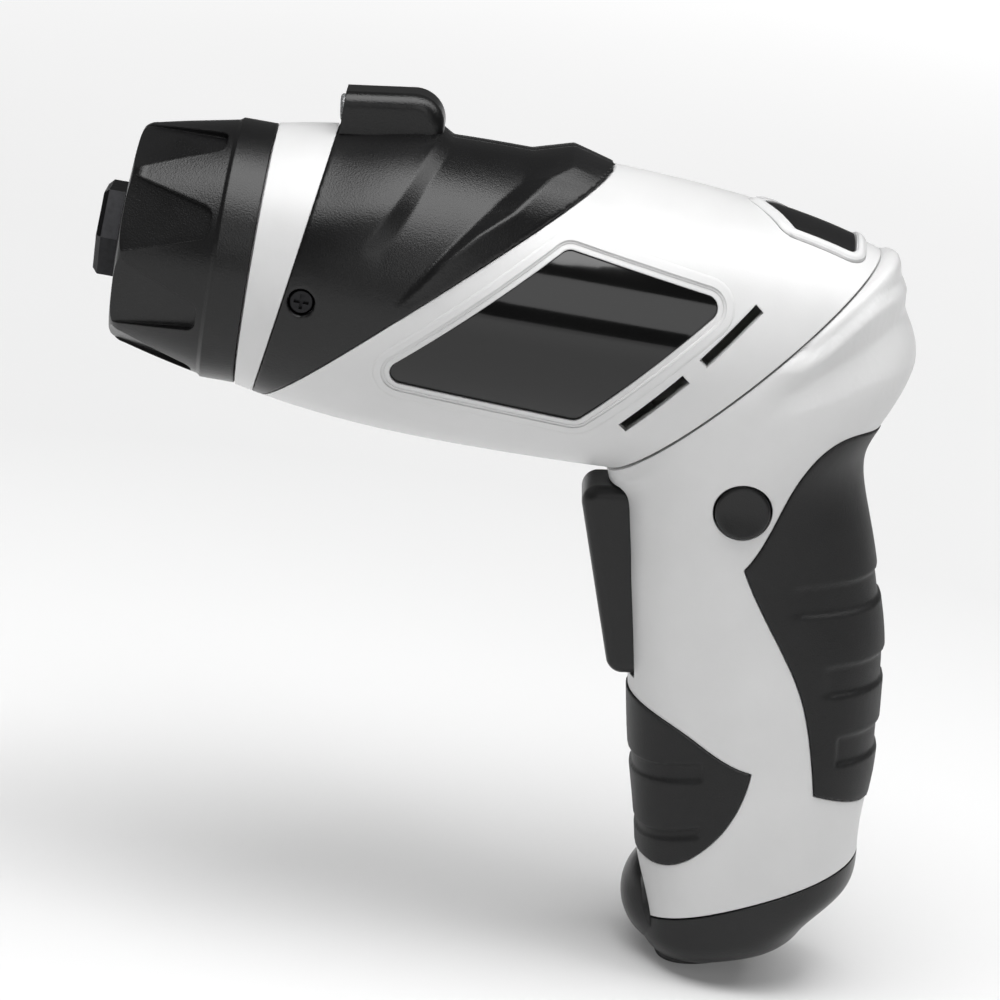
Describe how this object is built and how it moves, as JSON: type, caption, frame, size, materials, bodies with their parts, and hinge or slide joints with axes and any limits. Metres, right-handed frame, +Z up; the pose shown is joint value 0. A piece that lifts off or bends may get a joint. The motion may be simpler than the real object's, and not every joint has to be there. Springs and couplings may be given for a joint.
{
  "type": "drill driver",
  "caption": "Compact cordless drill driver with a twisting pistol handle, torque collar, magnetic hex bit holder, work light, trigger, direction button and battery cap",
  "frame": {"origin": "mouth of the bit socket, on the spindle's axis", "axes": "+X out of the nose along the spindle, +Y to the tool's left, +Z up over the spindle"},
  "size_m": [0.1547, 0.0542, 0.1504],
  "materials": {
    "white_shell": "satin white moulded casing",
    "dark_plastic": "fine textured dark moulding",
    "black_panel": "polished black panel",
    "soft_grip": "soft dark overmould",
    "dark_steel": "blackened steel",
    "steel": "machined or drawn steel",
    "bronze": "sintered bronze",
    "clear_lens": "clear moulded lens",
    "light_inner": "light diode body",
    "gear_plastic": "natural moulded plastic",
    "cell_wrap": "plain wrapped cell",
    "contact_metal": "nickel plated sheet"
  },
  "bodies": {
    "handle": {"swivel_hub": "gear_plastic", "handle_shell_left": "white_shell", "handle_shell_right": "white_shell", "handle_screws": "steel", "rear_grip": "soft_grip", "front_grip": "soft_grip", "trigger_switch": "dark_plastic", "trigger_spring": "steel", "cell_front_left": "cell_wrap", "cell_front_right": "cell_wrap", "cell_rear_left": "cell_wrap", "cell_rear_right": "cell_wrap", "contact_plate": "gear_plastic", "top_contacts": "contact_metal"},
    "head": {"head_shell_left": "white_shell", "head_shell_right": "white_shell", "sleeve_left": "dark_plastic", "sleeve_right": "dark_plastic", "sleeve_screws": "dark_steel", "panel_left": "black_panel", "panel_right": "black_panel", "head_screws": "steel", "light_housing": "dark_plastic", "light_lens": "clear_lens", "light_diode": "light_inner", "lock_spring": "steel", "gearbox_housing": "gear_plastic", "ring_gear": "steel", "spindle_bushing": "bronze", "motor_plate": "steel", "motor_can": "steel", "motor_endbell": "gear_plastic", "clutch_washer": "steel", "clutch_balls": "steel", "clutch_spring": "steel"},
    "spindle": {"bit_holder": "dark_steel", "bit_magnet": "steel", "output_spindle": "steel"},
    "stage_carrier": {"stage_carrier": "steel"},
    "rotor": {"motor_armature": "steel", "motor_pinion": "bronze"},
    "torque_collar": {"torque_collar": "dark_plastic"},
    "clutch_nut": {"clutch_nut": "gear_plastic"},
    "lock_button": {"lock_button": "dark_plastic"},
    "trigger": {"trigger": "dark_plastic"},
    "direction_button": {"direction_button": "dark_plastic"},
    "battery_cap": {"battery_cap": "dark_plastic", "cap_contacts": "contact_metal"},
    "planet_one_1": {"planet_one_1": "gear_plastic"},
    "planet_one_2": {"planet_one_2": "gear_plastic"},
    "planet_one_3": {"planet_one_3": "gear_plastic"},
    "planet_two_1": {"planet_two_1": "steel"},
    "planet_two_2": {"planet_two_2": "steel"},
    "planet_two_3": {"planet_two_3": "steel"}
  },
  "joints": [
    {"name": "handle_twist", "type": "hinge", "parent": "handle", "child": "head", "pos_m": [-0.1164, 0, -0.0034], "axis": [0.7547, 0, 0.6561], "range_deg": [0, 180]},
    {"name": "spindle_turn", "type": "hinge", "parent": "head", "child": "spindle", "pos_m": [0, 0, 0], "axis": [1, 0, 0], "continuous": true},
    {"name": "carrier_turn", "type": "hinge", "parent": "head", "child": "stage_carrier", "pos_m": [-0.042, 0, 0], "axis": [1, 0, 0], "continuous": true},
    {"name": "motor_turn", "type": "hinge", "parent": "head", "child": "rotor", "pos_m": [-0.06, 0, 0], "axis": [1, 0, 0], "continuous": true},
    {"name": "planet_two_1_turn", "type": "hinge", "parent": "spindle", "child": "planet_two_1", "pos_m": [-0.0368, 0, 0.0096], "axis": [1, 0, 0], "continuous": true},
    {"name": "planet_two_2_turn", "type": "hinge", "parent": "spindle", "child": "planet_two_2", "pos_m": [-0.0368, -0.00831, -0.0048], "axis": [1, 0, 0], "continuous": true},
    {"name": "planet_two_3_turn", "type": "hinge", "parent": "spindle", "child": "planet_two_3", "pos_m": [-0.0368, 0.00831, -0.0048], "axis": [1, 0, 0], "continuous": true},
    {"name": "planet_one_1_turn", "type": "hinge", "parent": "stage_carrier", "child": "planet_one_1", "pos_m": [-0.0454, 0, 0.0096], "axis": [1, 0, 0], "continuous": true},
    {"name": "planet_one_2_turn", "type": "hinge", "parent": "stage_carrier", "child": "planet_one_2", "pos_m": [-0.0454, -0.00831, -0.0048], "axis": [1, 0, 0], "continuous": true},
    {"name": "planet_one_3_turn", "type": "hinge", "parent": "stage_carrier", "child": "planet_one_3", "pos_m": [-0.0454, 0.00831, -0.0048], "axis": [1, 0, 0], "continuous": true},
    {"name": "collar_turn", "type": "hinge", "parent": "head", "child": "torque_collar", "pos_m": [-0.02, 0, 0], "axis": [1, 0, 0], "range_deg": [0, 270]},
    {"name": "nut_feed", "type": "slide", "parent": "torque_collar", "child": "clutch_nut", "axis": [-1, 0, 0], "range_m": [0, 0.003], "deforming": ["clutch_spring"]},
    {"name": "lock_press", "type": "slide", "parent": "head", "child": "lock_button", "axis": [0.2419, 0, -0.9703], "range_m": [0, 0.002], "stiffness_N_per_m": 800, "springref_m": -0.001, "deforming": ["lock_spring"]},
    {"name": "trigger_pull", "type": "slide", "parent": "handle", "child": "trigger", "axis": [-0.9903, 0, 0.1392], "range_m": [0, 0.0035], "stiffness_N_per_m": 900, "springref_m": -0.002, "deforming": ["trigger_spring"]},
    {"name": "direction_slide", "type": "slide", "parent": "handle", "child": "direction_button", "axis": [0, 1, 0], "range_m": [-0.003, 0.003]},
    {"name": "cap_slide", "type": "slide", "parent": "handle", "child": "battery_cap", "axis": [-0.1392, 0, -0.9903], "range_m": [0, 0.02]}
  ],
  "couplings": [
    {"joint": "carrier_turn", "follows": "spindle_turn", "ratio": 4},
    {"joint": "motor_turn", "follows": "spindle_turn", "ratio": 16},
    {"joint": "planet_two_1_turn", "follows": "spindle_turn", "ratio": -3},
    {"joint": "planet_two_2_turn", "follows": "spindle_turn", "ratio": -3},
    {"joint": "planet_two_3_turn", "follows": "spindle_turn", "ratio": -3},
    {"joint": "planet_one_1_turn", "follows": "spindle_turn", "ratio": -12},
    {"joint": "planet_one_2_turn", "follows": "spindle_turn", "ratio": -12},
    {"joint": "planet_one_3_turn", "follows": "spindle_turn", "ratio": -12},
    {"joint": "nut_feed", "follows": "collar_turn", "m_per_rad": 0.00063662}
  ]
}
